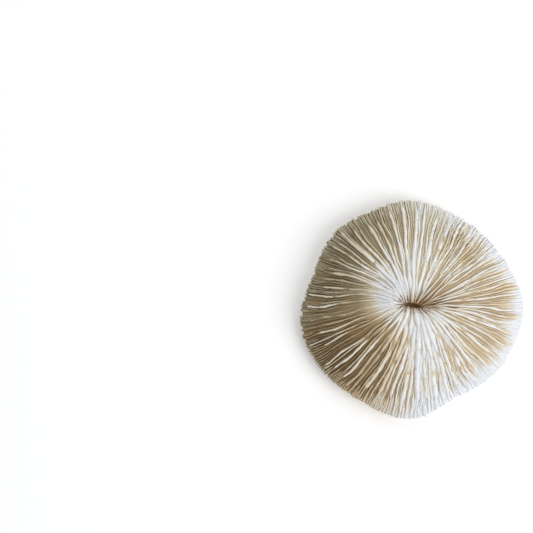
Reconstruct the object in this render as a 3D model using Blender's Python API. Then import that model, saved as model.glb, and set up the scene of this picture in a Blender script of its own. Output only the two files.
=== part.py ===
"""Mushroom coral: the bare skeleton of one free-living polyp, lying on its underside.

It grew as one piece, so it is one solid. Upright plates called septa run from a slit of a
mouth, over a low dome, to the rim. New, lower septa begin between the old ones as the coral
widens. Below the rim the septa carry on as faint ribs, the costae, down to the flat base,
whose middle holds the small scar where the young coral broke off its stalk.

Metres, +Z up. The origin is on the surface that the coral rests on, under the middle of its
bounding box. +Y is the photograph's upward direction.
"""

import math
import random

import bmesh
import bpy
from mathutils import Vector

MM = 0.001

# The outline from above is a circle with slow waves: (waves round the rim, height, crest angle)
MEAN_RADIUS = 50.7 * MM
OUTLINE_WAVES = (
    (1, 1.06 * MM, 167.0),
    (2, 0.88 * MM, 10.5),
    (3, 1.04 * MM, -6.7),
    (4, 1.13 * MM, 1.5),
    (5, 0.63 * MM, -18.6),
    (6, 0.56 * MM, 21.5),
    (8, 0.53 * MM, 1.6),
)
RIM_NOTCH = 0.8 * MM

# The dome
CREST_HEIGHT = 31.0 * MM
RIM_HEIGHT = 6.0 * MM
DOME_POWER = 2.2
DOME_ROUNDNESS = 0.6

# The mouth is a slit, and each septum leaves it in its own direction
MOUTH_CENTRE = Vector((-0.6, 2.0)) * MM
MOUTH_HALF_LENGTH = 5.1 * MM
MOUTH_HALF_WIDTH = 1.3 * MM
MOUTH_TILT = math.radians(-10.0)
MOUTH_DEPTH = 9.0 * MM
MOUTH_FLOOR = 1.5 * MM
FOSSA_POWER = 1.4

# Values at every 30 degrees round the rim, from +X towards +Y
LEAVING_BEND = (8.0, 2.0, 3.0, 0.0, -12.0, -28.0, -15.0, 2.0, 14.0, 11.0, 9.0, 13.0)
LIP_RUN = (9.0, 6.0, 4.2, 3.2, 2.8, 2.4, 1.8, 1.6, 1.4, 1.4, 1.5, 2.2)

# Neighbouring septa swing together: (waves round the rim, radians along a septum, start, size)
SWINGS = (
    (7, 6.0, 0.5, 0.012),
    (15, -11.0, 2.0, 0.008),
    (31, 17.0, 4.0, 0.004),
)
SWING_BEGINS_BY = 0.3
SWING_ENDS_WITHIN = 0.25

# Swells and dips of the crown, which fade towards the rim: (centre x, y, radius, height)
LUMP_FADE = 0.3
LUMPS = (
    (-14.8 * MM, 3.5 * MM, 8.0 * MM, 1.6 * MM),
    (-20.0 * MM, -7.0 * MM, 7.0 * MM, -1.4 * MM),
    (21.0 * MM, 24.0 * MM, 7.5 * MM, -1.6 * MM),
    (17.0 * MM, -20.0 * MM, 9.0 * MM, 1.2 * MM),
    (27.0 * MM, -31.0 * MM, 6.0 * MM, -1.0 * MM),
)

# Three cycles of septa: (how many, where they begin, how much the beginning varies, height share)
CYCLES = (
    (24, 0.0, 0.0, 1.0),
    (24, 0.10, 0.03, 0.96),
    (48, 0.30, 0.07, 0.78),
)
SEPTA_SEED = 12
ANGLE_SCATTER = 0.28
SEPTUM_RISE = 0.07
GROOVE_DEPTH = 2.2 * MM

# The grooves are shallower at the mouth, at the rim, and on the smooth boss beside the mouth
MOUTH_GROOVE_SHARE = 0.35
MOUTH_GROOVE_RUN = 0.15
RIM_GROOVE_SHARE = 0.35
RIM_GROOVE_RUN = 0.12
BOSS = (-14.8 * MM, 3.5 * MM, 8.8 * MM)
BOSS_SHALLOWNESS = 0.6

# The underside
BASE_SHARE = 0.76
SCAR_RADIUS = 6.5 * MM
SCAR_DEPTH = 0.6 * MM
SCAR_FLOOR_SHARE = 0.88
COSTA_RELIEF = 0.5 * MM

# The mesh
TOP_RINGS = 17
SIDE_RINGS = 5
SCAR_RINGS = 2

CORAL_COLOUR = (0.78, 0.73, 0.62, 1.0)
CORAL_ROUGHNESS = 0.85


def smooth_step(value):
    """0 below 0 and 1 above 1, with an even slope between."""
    held = min(1.0, max(0.0, value))
    return held * held * (3.0 - 2.0 * held)


def around(values, angle):
    """The value at an angle, from values at even steps round the circle, joined smoothly."""
    count = len(values)
    place = (angle / math.tau % 1.0) * count
    index = int(place)
    t = place - index
    before, here, after, beyond = (values[(index + k) % count] for k in (-1, 0, 1, 2))
    slope_here = (after - before) / 2.0
    slope_after = (beyond - here) / 2.0
    return (
        here * (1.0 + 2.0 * t) * (1.0 - t) ** 2
        + slope_here * t * (1.0 - t) ** 2
        + after * t * t * (3.0 - 2.0 * t)
        + slope_after * t * t * (t - 1.0)
    )


def direction(angle):
    return Vector((math.cos(angle), math.sin(angle)))


def outline_radius(angle):
    waves = (
        height * math.cos(count * (angle - math.radians(crest)))
        for count, height, crest in OUTLINE_WAVES
    )
    return MEAN_RADIUS + sum(waves)


def outline_middle():
    """The middle of the outline's bounding box, which becomes the part's origin."""
    points = [direction(math.radians(a)) * outline_radius(math.radians(a)) for a in range(360)]
    xs = [p.x for p in points]
    ys = [p.y for p in points]
    return Vector(((min(xs) + max(xs)) / 2.0, (min(ys) + max(ys)) / 2.0))


def mouth_edge(angle):
    """Where the septum of this angle begins, on the edge of the slit."""
    along = MOUTH_HALF_LENGTH * math.cos(angle - MOUTH_TILT)
    across = MOUTH_HALF_WIDTH * math.sin(angle - MOUTH_TILT)
    length_way = direction(MOUTH_TILT)
    width_way = direction(MOUTH_TILT + math.pi / 2.0)
    return MOUTH_CENTRE + length_way * along + width_way * across


def swing(angle, share):
    """How far round a septum wanders on its way from the mouth to the rim."""
    begins = smooth_step(share / SWING_BEGINS_BY)
    ends = smooth_step((1.0 - share) / SWING_ENDS_WITHIN)
    waves = (size * math.sin(n * angle + run * share + start) for n, run, start, size in SWINGS)
    return sum(waves) * begins * ends


def septum_plan(rim_angle, share, notch):
    """A septum seen from above: a curve from the mouth (share 0) to the rim (share 1)."""
    angle = rim_angle + swing(rim_angle, share)
    start = mouth_edge(angle)
    end = direction(angle) * (outline_radius(angle) - notch)
    reach = (end - start).length / 3.0
    leaving = angle + math.radians(around(LEAVING_BEND, angle))
    first_handle = start + direction(leaving) * reach
    last_handle = end - direction(angle) * reach
    rest = 1.0 - share
    return (
        start * rest**3
        + first_handle * (3.0 * rest**2 * share)
        + last_handle * (3.0 * rest * share**2)
        + end * share**3
    )


def crest_height(angle, share, place):
    """The height of the tallest septa's edge."""
    rise = (CREST_HEIGHT - RIM_HEIGHT) * (1.0 - share**DOME_POWER) ** DOME_ROUNDNESS
    from_mouth = (place - mouth_edge(angle)).length
    lip = around(LIP_RUN, angle) * MM
    fossa = MOUTH_DEPTH * math.exp(-((from_mouth / lip) ** FOSSA_POWER))
    fade = smooth_step((1.0 - share) / LUMP_FADE)
    lumps = sum(height * nearness(place, x, y, radius) for x, y, radius, height in LUMPS)
    return RIM_HEIGHT + rise - fossa + lumps * fade


def nearness(place, x, y, radius):
    """1 at a spot of the crown, fading to 0 away from it."""
    return math.exp(-((place.x - x) ** 2 + (place.y - y) ** 2) / radius**2)


def groove_depth(share, place):
    """How far the floor between two septa lies below their edges."""
    at_mouth = 1.0 - smooth_step(share / MOUTH_GROOVE_RUN)
    at_rim = 1.0 - smooth_step((1.0 - share) / RIM_GROOVE_RUN)
    depth = GROOVE_DEPTH * (1.0 - (1.0 - MOUTH_GROOVE_SHARE) * at_mouth)
    depth *= 1.0 - (1.0 - RIM_GROOVE_SHARE) * at_rim
    return depth * (1.0 - BOSS_SHALLOWNESS * nearness(place, *BOSS))


def lay_out_septa():
    """Every septum as (angle, where it begins, height share), in order round the coral."""
    dice = random.Random(SEPTA_SEED)
    septa = []
    for count, begins, varies, height in CYCLES:
        pitch = math.tau / count
        offset = 0.0 if not septa else pitch / 2.0
        scatter = ANGLE_SCATTER * pitch / (1.0 if not septa else 2.0)
        for index in range(count):
            angle = index * pitch + offset + dice.uniform(-0.5, 0.5) * scatter
            begin = begins + dice.uniform(-varies, varies)
            septa.append((angle % math.tau, begin, height))
    return sorted(septa)


def mesh_columns(septa):
    """A ridge column on each septum, and midway to the next a groove column that never begins."""
    columns = []
    for index, (angle, begin, height) in enumerate(septa):
        following = septa[(index + 1) % len(septa)][0]
        gap = (following - angle) % math.tau
        columns.append((angle, begin, height))
        columns.append((angle + gap / 2.0, None, 0.0))
    return columns


def top_point(column, share):
    angle, begin, height = column
    groove = begin is None
    place = septum_plan(angle, share, RIM_NOTCH if groove else 0.0)
    stands = 0.0 if groove else height * smooth_step((share - begin) / SEPTUM_RISE + 0.5)
    sunk = groove_depth(share, place) * (1.0 - stands)
    return Vector((place.x, place.y, crest_height(angle, share, place) - sunk))


def side_point(column, turn):
    """A point of the rounded side below the rim, from turn 0 at the rim to 1 at the base."""
    angle, begin, _ = column
    quarter = turn * math.pi / 2.0
    radius = outline_radius(angle)
    base = BASE_SHARE * radius
    out = base + (radius - base) * math.cos(quarter)
    if begin is None:
        out -= (RIM_NOTCH + COSTA_RELIEF * math.sin(2.0 * quarter)) * (1.0 - turn)
    flat = direction(angle) * out
    return Vector((flat.x, flat.y, RIM_HEIGHT * (1.0 - math.sin(quarter))))


def scar_point(column, ring):
    """The scar: ring 0 is its edge on the flat base, and ring 1 its floor a little higher."""
    share = SCAR_FLOOR_SHARE if ring else 1.0
    flat = direction(column[0]) * SCAR_RADIUS * share
    return Vector((flat.x, flat.y, SCAR_DEPTH * ring))


def coral_point(column, ring):
    """The place of a mesh point, counting rings from the mouth over the rim to the scar."""
    if ring < TOP_RINGS:
        share = (1.0 - math.cos(math.pi * ring / (TOP_RINGS - 1))) / 2.0
        return top_point(column, share)
    below = ring - TOP_RINGS + 1
    if below <= SIDE_RINGS:
        return side_point(column, below / SIDE_RINGS)
    return scar_point(column, below - SIDE_RINGS - 1)


def mouth_bottom():
    far_side = math.pi / 2.0
    place = mouth_edge(far_side)
    floor = crest_height(far_side, 0.0, place) - groove_depth(0.0, place)
    return Vector((MOUTH_CENTRE.x, MOUTH_CENTRE.y, floor - MOUTH_FLOOR))


def shape_coral():
    """Starts from a ball with one line of longitude per column, and moves each point."""
    columns = mesh_columns(lay_out_septa())
    rings = TOP_RINGS + SIDE_RINGS + SCAR_RINGS
    mesh = bmesh.new()
    bmesh.ops.create_uvsphere(mesh, u_segments=len(columns), v_segments=rings + 1, radius=1.0)
    middle = outline_middle()
    shift = Vector((middle.x, middle.y, 0.0))
    polar_step = math.pi / (rings + 1)
    for vertex in mesh.verts:
        ring = round(math.acos(max(-1.0, min(1.0, vertex.co.z))) / polar_step) - 1
        longitude = math.atan2(vertex.co.y, vertex.co.x)
        column = columns[round(longitude / math.tau * len(columns)) % len(columns)]
        if ring < 0:
            vertex.co = mouth_bottom() - shift
        elif ring >= rings:
            vertex.co = Vector((0.0, 0.0, SCAR_DEPTH)) - shift
        else:
            vertex.co = coral_point(column, ring) - shift
    bmesh.ops.recalc_face_normals(mesh, faces=mesh.faces)
    data = bpy.data.meshes.new("coral")
    mesh.to_mesh(data)
    mesh.free()
    return data


def coral_material():
    material = bpy.data.materials.new("coral_skeleton")
    material.use_nodes = True
    shader = material.node_tree.nodes["Principled BSDF"]
    shader.inputs["Base Color"].default_value = CORAL_COLOUR
    shader.inputs["Roughness"].default_value = CORAL_ROUGHNESS
    shader.inputs["Metallic"].default_value = 0.0
    return material


def main():
    for old in list(bpy.data.objects):
        bpy.data.objects.remove(old)
    collection = bpy.data.collections.new("mushroom_coral")
    bpy.context.scene.collection.children.link(collection)
    data = shape_coral()
    data.materials.append(coral_material())
    data.shade_smooth()
    data.set_sharp_from_angle(angle=math.radians(40.0))
    collection.objects.link(bpy.data.objects.new("coral", data))


main()
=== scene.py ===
# %% [markdown]
# # A mushroom coral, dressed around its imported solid
# The coral is the dry skeleton of one large polyp. Upright plates, the septa, run from a slit of a
# mouth to the rim, and newer, lower ones begin between the old ones as the disc grows wider.
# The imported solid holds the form. This lesson gives it thin septa, ribs, spines and a finish.

# %% Load the frame
import math
import random
from collections import namedtuple
from functools import partialmethod

import bpy
import numpy as np
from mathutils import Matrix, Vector


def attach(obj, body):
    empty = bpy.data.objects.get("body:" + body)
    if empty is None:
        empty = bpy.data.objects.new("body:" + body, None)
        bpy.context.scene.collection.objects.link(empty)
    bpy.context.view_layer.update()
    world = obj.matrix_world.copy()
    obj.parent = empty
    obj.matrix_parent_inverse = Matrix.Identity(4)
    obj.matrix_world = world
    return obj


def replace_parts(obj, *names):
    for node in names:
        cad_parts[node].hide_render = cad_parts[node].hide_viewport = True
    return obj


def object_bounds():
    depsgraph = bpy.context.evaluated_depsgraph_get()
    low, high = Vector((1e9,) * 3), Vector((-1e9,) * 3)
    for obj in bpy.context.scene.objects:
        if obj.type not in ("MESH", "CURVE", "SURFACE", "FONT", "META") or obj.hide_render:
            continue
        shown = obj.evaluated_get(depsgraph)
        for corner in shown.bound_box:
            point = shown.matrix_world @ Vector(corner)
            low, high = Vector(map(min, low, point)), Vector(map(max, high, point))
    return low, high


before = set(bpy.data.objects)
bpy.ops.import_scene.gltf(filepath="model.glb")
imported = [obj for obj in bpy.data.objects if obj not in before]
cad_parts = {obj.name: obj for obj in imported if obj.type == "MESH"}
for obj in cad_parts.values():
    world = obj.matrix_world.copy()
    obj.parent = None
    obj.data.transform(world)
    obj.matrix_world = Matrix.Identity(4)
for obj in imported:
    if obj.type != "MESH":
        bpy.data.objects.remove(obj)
CAD_LOW, CAD_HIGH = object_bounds()
BODY = "root"
MM = 0.001
print("solid box, mm:", [round(v / MM, 1) for v in (*CAD_LOW, *CAD_HIGH)])

# %% [markdown]
# ## The rule of growth
# The solid was made from a few driving sizes. The septa could be fitted to its mesh, but its
# ridges are broad and its faces few. So the same rule is repeated here, with numpy, and every
# septum stands where the solid has its ridge. Lengths in the rule are millimetres. Angles run
# from +X towards +Y round the rim, and a share of 0 is the mouth, 1 the rim.

# %% Driving sizes, as in the solid
MEAN_RADIUS = 50.7
OUTLINE_WAVES = (
    (1, 1.06, 167.0), (2, 0.88, 10.5), (3, 1.04, -6.7), (4, 1.13, 1.5),
    (5, 0.63, -18.6), (6, 0.56, 21.5), (8, 0.53, 1.6),
)
CREST_HEIGHT = 31.0
RIM_HEIGHT = 6.0
DOME_POWER = 2.2
DOME_ROUNDNESS = 0.6
MOUTH_CENTRE = np.array((-0.6, 2.0))
MOUTH_HALF_LENGTH = 5.1
MOUTH_HALF_WIDTH = 1.3
MOUTH_TILT = math.radians(-10.0)
MOUTH_DEPTH = 9.0
BASE_SHARE = 0.76

# %% The run of the septa, the lip and the lumps, as in the solid
LEAVING_BEND = (8.0, 2.0, 3.0, 0.0, -12.0, -28.0, -15.0, 2.0, 14.0, 11.0, 9.0, 13.0)
LIP_RUN = (9.0, 6.0, 4.2, 3.2, 2.8, 2.4, 1.8, 1.6, 1.4, 1.4, 1.5, 2.2)
LUMPS = (
    (-14.8, 3.5, 8.0, 1.6), (-20.0, -7.0, 7.0, -1.4), (21.0, 24.0, 7.5, -1.6),
    (17.0, -20.0, 9.0, 1.2), (27.0, -31.0, 6.0, -1.0),
)
SWINGS = ((7, 6.0, 0.5, 0.012), (15, -11.0, 2.0, 0.008), (31, 17.0, 4.0, 0.004))
SWING_BEGINS_BY = 0.3
SWING_ENDS_WITHIN = 0.25


# %% Smooth steps, blends and smooth tables
def smooth_step(value):
    held = np.clip(value, 0.0, 1.0)
    return held * held * (3.0 - 2.0 * held)


def blend(first, last, amount):
    return first + (last - first) * amount


def around(values, angle):
    """Values at even steps round the circle, joined smoothly."""
    table = np.array(values)
    count = len(table)
    place = (np.asarray(angle) / math.tau % 1.0) * count
    index = np.floor(place).astype(int) % count
    t = place - np.floor(place)
    before, here, after, beyond = (table[(index + k) % count] for k in (-1, 0, 1, 2))
    return (
        here * (1.0 + 2.0 * t) * (1.0 - t) ** 2
        + (after - before) / 2.0 * t * (1.0 - t) ** 2
        + after * t * t * (3.0 - 2.0 * t)
        + (beyond - here) / 2.0 * t * t * (t - 1.0)
    )


def direction(angle):
    return np.stack((np.cos(angle), np.sin(angle)), axis=-1)


# %% The outline, whose middle is the origin
def outline_radius(angle):
    waves = (high * np.cos(n * (angle - math.radians(top))) for n, high, top in OUTLINE_WAVES)
    return MEAN_RADIUS + sum(waves)


def outline_middle():
    turn = np.radians(np.arange(360))
    outline = direction(turn) * outline_radius(turn)[:, None]
    print("outline, mm:", np.round(outline.max(0) - outline.min(0), 1))
    return (outline.min(0) + outline.max(0)) / 2.0


MIDDLE = outline_middle()


# %% A septum seen from above
def mouth_edge(angle, width=1.0):
    along = width * MOUTH_HALF_LENGTH * np.cos(angle - MOUTH_TILT)
    across = width * MOUTH_HALF_WIDTH * np.sin(angle - MOUTH_TILT)
    length_way = direction(MOUTH_TILT)
    width_way = direction(MOUTH_TILT + math.pi / 2.0)
    return MOUTH_CENTRE + along[..., None] * length_way + across[..., None] * width_way


def swing(angle, share):
    """Neighbours wander together, so that no septum crosses another."""
    total = sum(size * np.sin(n * angle + run * share + start) for n, run, start, size in SWINGS)
    begins = smooth_step(share / SWING_BEGINS_BY)
    return total * begins * smooth_step((1.0 - share) / SWING_ENDS_WITHIN)


def septum_plan(rim_angle, share, inset=0.0):
    """Places in mm, for arrays of angles and shares of one shape."""
    angle = rim_angle + swing(rim_angle, share)
    start = mouth_edge(angle)
    end = direction(angle) * (outline_radius(angle) - inset)[..., None]
    reach = np.linalg.norm(end - start, axis=-1, keepdims=True) / 3.0
    leaving = angle + np.radians(around(LEAVING_BEND, angle))
    first_handle = start + direction(leaving) * reach
    last_handle = end - direction(angle) * reach
    done = share[..., None]
    rest = 1.0 - done
    return (
        start * rest**3
        + first_handle * 3.0 * rest**2 * done
        + last_handle * 3.0 * rest * done**2
        + end * done**3
    )


# %% The height of the crown
LUMP_FADE = 0.3
FOSSA_POWER = 1.4


def fossa_depth(angle, place, wall=0.0):
    """How far the crown has sunk towards the mouth, with the slit's wall moved outwards."""
    from_wall = np.linalg.norm(place - mouth_edge(angle), axis=-1) - wall
    run = np.maximum(from_wall, 0.0) / around(LIP_RUN, angle)
    return MOUTH_DEPTH * np.exp(-(run**FOSSA_POWER))


def crest_height(angle, share, place, wall=0.0):
    rise = (CREST_HEIGHT - RIM_HEIGHT) * (1.0 - share**DOME_POWER) ** DOME_ROUNDNESS
    lumps = all_spots(place, LUMPS)
    fade = smooth_step((1.0 - share) / LUMP_FADE)
    return RIM_HEIGHT + rise - fossa_depth(angle, place, wall) + lumps * fade


def near(place, x, y, radius):
    """1 at a spot of the crown, fading to 0 away from it."""
    return np.exp(-((place[..., 0] - x) ** 2 + (place[..., 1] - y) ** 2) / radius**2)


def all_spots(place, spots):
    return sum(much * near(place, x, y, radius) for x, y, radius, much in spots)


# %% [markdown]
# ## Where the septa stand
# The first three cycles are the solid's own ridges, from the same seed. Two finer cycles, which
# only this lesson makes, fill the gaps with lower plates, and some gaps stay empty. All of them
# could start at equal steps, but a grown coral is less even, so dice move each one a little.
# Their number is what the rim of the real coral shows: nearly three hundred in all. Towards the
# pale boss left of the mouth they begin early.

# %% Lay out the septa
Septum = namedtuple("Septum", "angle begins level cycle")
CYCLES = ((24, 0.0, 0.0, 1.0), (24, 0.10, 0.03, 0.96), (48, 0.30, 0.07, 0.78))
FINE_CYCLES = ((0.36, 0.11, 0.68, 1.0), (0.63, 0.10, 0.58, 0.55))
SEPTA_SEED = 12
ANGLE_SCATTER = 0.28
GAP_SCATTER = 0.08
LEVEL_SCATTER = (0.86, 1.12)
BOSS_ANGLE = math.radians(165.0)
BOSS_SPREAD = 0.5
BOSS_EARLIER = 0.22


def lay_out_first_septa():
    dice = random.Random(SEPTA_SEED)
    septa = []
    for cycle, (count, begins, varies, level) in enumerate(CYCLES):
        pitch = math.tau / count
        offset = 0.0 if not septa else pitch / 2.0
        scatter = ANGLE_SCATTER * pitch / (1.0 if not septa else 2.0)
        for index in range(count):
            angle = index * pitch + offset + dice.uniform(-0.5, 0.5) * scatter
            start = begins + dice.uniform(-varies, varies)
            septa.append(Septum(angle % math.tau, start, level, cycle))
    return sorted(septa)


def add_between(septa, cycle, begins, varies, level, chance, dice):
    """New septa midway between neighbours, with some gaps left empty."""
    added = []
    for index, septum in enumerate(septa):
        gap = (septa[(index + 1) % len(septa)].angle - septum.angle) % math.tau
        middle = 0.5 + dice.uniform(-GAP_SCATTER, GAP_SCATTER)
        angle = (septum.angle + gap * middle) % math.tau
        on_boss = math.exp(-(((angle - BOSS_ANGLE) / BOSS_SPREAD) ** 2))
        start = begins + dice.uniform(-varies, varies) - BOSS_EARLIER * on_boss
        new = Septum(angle, start, level * dice.uniform(*LEVEL_SCATTER), cycle)
        if dice.random() < chance:
            added.append(new)
    return sorted(septa + added)


SEPTA = lay_out_first_septa()
fine_dice = random.Random(SEPTA_SEED + 1)
for order, rule in enumerate(FINE_CYCLES):
    SEPTA = add_between(SEPTA, len(CYCLES) + order, *rule, fine_dice)
print("septa by cycle:", [sum(s.cycle == c for s in SEPTA) for c in range(5)])

# %% [markdown]
# ## How the coral differs from place to place
# No two sides of a grown coral are alike. Here the gaps at the left are deep and brown, and the
# rim at the right is nearly white: partly stain and bleaching, partly painted shade at the left and
# painted light at the right, where the key light falls. The septa are thick at the bottom, and
# their edges are worn at the upper and lower right. A mesh could be sculpted and painted by hand
# for that, but tables can be read and changed. Each has a value at every 30 degrees round the rim,
# from +X towards +Y, and is joined smoothly in between. Spots, with a place and a radius, say what
# is local.

# %% Gaps, heights and thicknesses round the rim
GAP_DEPTHS = (1.2, 1.05, 1.0, 1.1, 1.35, 1.45, 1.6, 2.1, 2.0, 1.4, 1.3, 1.3)
RIM_GAP_SHARES = (0.25, 0.3, 0.35, 0.32, 0.24, 0.24, 0.3, 0.5, 0.5, 0.28, 0.2, 0.22)
THIRD_RISE = (1.16, 1.1, 1.0, 1.0, 1.15, 1.15, 1.1, 1.12, 1.08, 1.02, 1.1, 1.16)
FINE_RISE = (1.0, 0.95, 0.8, 0.65, 0.65, 0.75, 0.8, 0.65, 0.5, 0.65, 0.9, 1.0)
TALLEST_THICKER = (0.85, 0.85, 1.1, 1.4, 1.2, 1.05, 0.95, 1.05, 1.45, 1.7, 1.45, 1.0)
THIRD_THICKER = (0.85, 0.8, 0.85, 0.9, 0.95, 0.95, 0.85, 0.9, 1.25, 1.5, 1.3, 0.95)
FINE_THICKER = (0.8, 0.8, 0.8, 0.8, 0.8, 0.8, 0.8, 0.8, 0.9, 1.1, 1.1, 0.9)
RIM_THICKNESS = (0.9, 0.85, 0.75, 0.65, 0.65, 0.62, 0.58, 0.65, 0.85, 1.0, 1.0, 0.95)
DIPS = (1.0, 1.2, 1.5, 0.6, 0.3, 1.0, 2.4, 1.2, 0.8, 1.0, 1.5, 1.3)
RUGGEDNESS = (0.9, 1.3, 1.9, 1.1, 0.9, 1.2, 1.3, 1.0, 1.0, 1.4, 1.7, 1.3)
EVEN_FROM = (0.77, 0.78, 0.84, 0.88, 0.87, 0.88, 0.90, 0.90, 0.89, 0.86, 0.80, 0.77)
EVENING_RUNS = (0.22, 0.20, 0.14, 0.06, 0.04, 0.04, 0.04, 0.04, 0.04, 0.08, 0.14, 0.20)
RIM_LEVELS = (0.95, 0.92, 0.80, 0.60, 0.50, 0.52, 0.62, 0.75, 0.85, 0.92, 0.95, 0.95)

# %% Stains and painted shading round the rim: where they start, how deep they count as, and what edges take of them
STAIN_AND_SHADING_STARTS = (0.06, 0.04, 0.05, 0.08, 0.20, 0.32, 0.24, 0.12, 0.1, 0.1, 0.1, 0.08)
# High at the left and below zero at the right: real stain and bleaching, with painted shade on the shaded
# left and painted light on the lit right.
STAINS_AND_SHADING = (2.3, 2.0, 1.1, 0.7, 2.2, 3.4, 3.8, 3.7, 2.7, 0.0, 0.6, 1.8)
RIM_STAINS_AND_SHADING = (-0.7, -0.5, 0.0, 0.7, 3.4, 4.8, 5.0, 4.8, 3.0, -0.3, -0.7, -0.7)
STAIN_AND_SHADING_LIMIT_WAVES = ((9, 2.0, 0.035), (23, 0.0, 0.05), (41, 1.0, 0.04), (67, 3.0, 0.03))
# Painted shade on the edges: at the upper left they darken towards the rim, where the light falls off.
EDGE_PAINTED_SHADE = (0.0, 0.0, 0.0, 0.1, 0.4, 0.4, 0.12, 0.0, 0.0, 0.0, 0.0, 0.0)
# How brown the septa grow towards the mouth, strongest on the north side.
FOSSA_BROWNS = (0.28, 0.42, 0.38, 0.28, 0.14, 0.08, 0.06, 0.06, 0.05, 0.04, 0.05, 0.14)

# %% Spots on the crown: x, y and radius, and then how strong
BOSS = (-14.2, 2.4, 10.0)
BOSS_SHALLOWNESS = 0.2
LOW_FIELD = (-26.0, 4.0, 8.0)
LOW_FIELD_SHALLOWNESS = 0.25
LOW_SPOTS = ((-26.0, 4.0, 8.0, 0.5), (-18.0, -8.0, 5.0, 0.4))
THIN_SPOT = (9.5, 8.0, 9.0)
WORN_SPOTS = ((22.0, 35.0, 9.0, 1.5), (22.0, -30.0, 9.0, 1.2), (8.0, -43.0, 8.0, 0.9))
STAIN_SPOTS = (
    (-27.0, 5.0, 8.0, 1.6), (25.0, 27.0, 10.0, 0.7), (-27.0, -16.0, 9.0, 0.6), (18.0, -18.0, 8.0, 0.5),
    (9.0, 8.0, 8.0, 2.2), (-15.0, 2.5, 8.0, -0.9),
)

# %% The depth of the gaps
MOUTH_GAP_SHARE = 0.65
MOUTH_GAP_RUN = 0.3
RIM_GAP_RUN = 0.16


def gap_depth(angle, share, place):
    near_mouth = blend(MOUTH_GAP_SHARE, 1.0, smooth_step(share / MOUTH_GAP_RUN))
    near_rim = blend(around(RIM_GAP_SHARES, angle), 1.0, smooth_step((1.0 - share) / RIM_GAP_RUN))
    boss = 1.0 - BOSS_SHALLOWNESS * near(place, *BOSS)
    low_field = 1.0 - LOW_FIELD_SHALLOWNESS * near(place, *LOW_FIELD)
    return around(GAP_DEPTHS, angle) * near_mouth * near_rim * boss * low_field


# %% The stain and painted shading
STAIN_AND_SHADING_RUN = 0.36
RIM_STAIN_AND_SHADING_FROM = 0.68
RIM_STAIN_AND_SHADING_RUN = 0.34


def stain(angle, share, place):
    """Extra depth for stain and painted shade, and less than none for bleaching and painted light."""
    outwards = smooth_step((share - around(STAIN_AND_SHADING_STARTS, angle)) / STAIN_AND_SHADING_RUN)
    wobble = sum(high * np.sin(n * angle + start) for n, start, high in STAIN_AND_SHADING_LIMIT_WAVES)
    at_rim = smooth_step((share + wobble - RIM_STAIN_AND_SHADING_FROM) / RIM_STAIN_AND_SHADING_RUN)
    crown = around(STAINS_AND_SHADING, angle) * outwards * (1.0 - at_rim) + around(RIM_STAINS_AND_SHADING, angle) * at_rim
    return crown + all_spots(place, STAIN_SPOTS)


def fossa_brown(angle, place):
    """Brown where the septa go down into the mouth."""
    return around(FOSSA_BROWNS, angle) * fossa_depth(angle, place) ** 2 / MOUTH_DEPTH


# %% [markdown]
# ## Rails for the septa
# A septum is a thin plate. Its edge climbs out of the mouth, crosses the dome, turns over the rim
# and goes on underneath as a rib, the costa. A new septum first leans on a neighbour, so that the
# lines seem to fork, and long hollows lie between groups of them. Each edge line is built as a
# rail: a chain of points with the plate's height, thickness, stain and painted shading, and
# sideways direction stored on it. A node tree then follows the rails. Blender's own curve frames
# would flip where the line turns over the rim, which is why the rails carry their directions.

# %% The rounded side below the rim
def side_profile(turn):
    """Below the rim: how far out, as a share of the outline, and how high."""
    quarter = turn * math.pi / 2.0
    return BASE_SHARE + (1.0 - BASE_SHARE) * np.cos(quarter), RIM_HEIGHT * (1.0 - np.sin(quarter))


# %% Troughs between groups of septa: angle, half width, share, run and drop
TROUGHS = (
    (-35.0, 3.2, 0.70, 0.16, 0.75), (-57.0, 2.2, 0.52, 0.09, 0.70), (-45.0, 1.8, 0.80, 0.08, 0.60),
    (46.0, 3.5, 0.68, 0.12, 0.60), (62.0, 2.5, 0.75, 0.10, 0.50), (80.0, 2.2, 0.80, 0.12, 0.50),
    (-78.0, 2.0, 0.75, 0.10, 0.50), (-100.0, 2.2, 0.55, 0.12, 0.50), (14.0, 2.2, 0.60, 0.12, 0.50),
    (122.0, 2.4, 0.60, 0.12, 0.40), (205.0, 3.0, 0.50, 0.12, 0.50), (232.0, 2.4, 0.70, 0.12, 0.50),
)


def trough(angle, share):
    """How much lower the septa stand in some long hollows between groups of them."""
    total = np.zeros_like(share)
    for middle, width, at, run, drop in TROUGHS:
        off = (angle - math.radians(middle) + math.pi) % math.tau - math.pi
        hollow = np.exp(-((off / math.radians(width)) ** 2) - ((share - at) / run) ** 2)
        total = np.maximum(total, drop * hollow)
    return total


# %% How high the edge of a septum stands
VARIETY = (0.12, 0.2, 0.25, 0.2, 0.2)
HIGHEST_LATER_LEVEL = 0.98
RISE_SHARE = 0.09
DIP_PLACES = (0.2, 0.9)
DIP_RUNS = (0.015, 0.06)
DIP_DEPTHS = (0.2, 0.75)
EVEN_SCATTER = (-0.10, 0.06)


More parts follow.
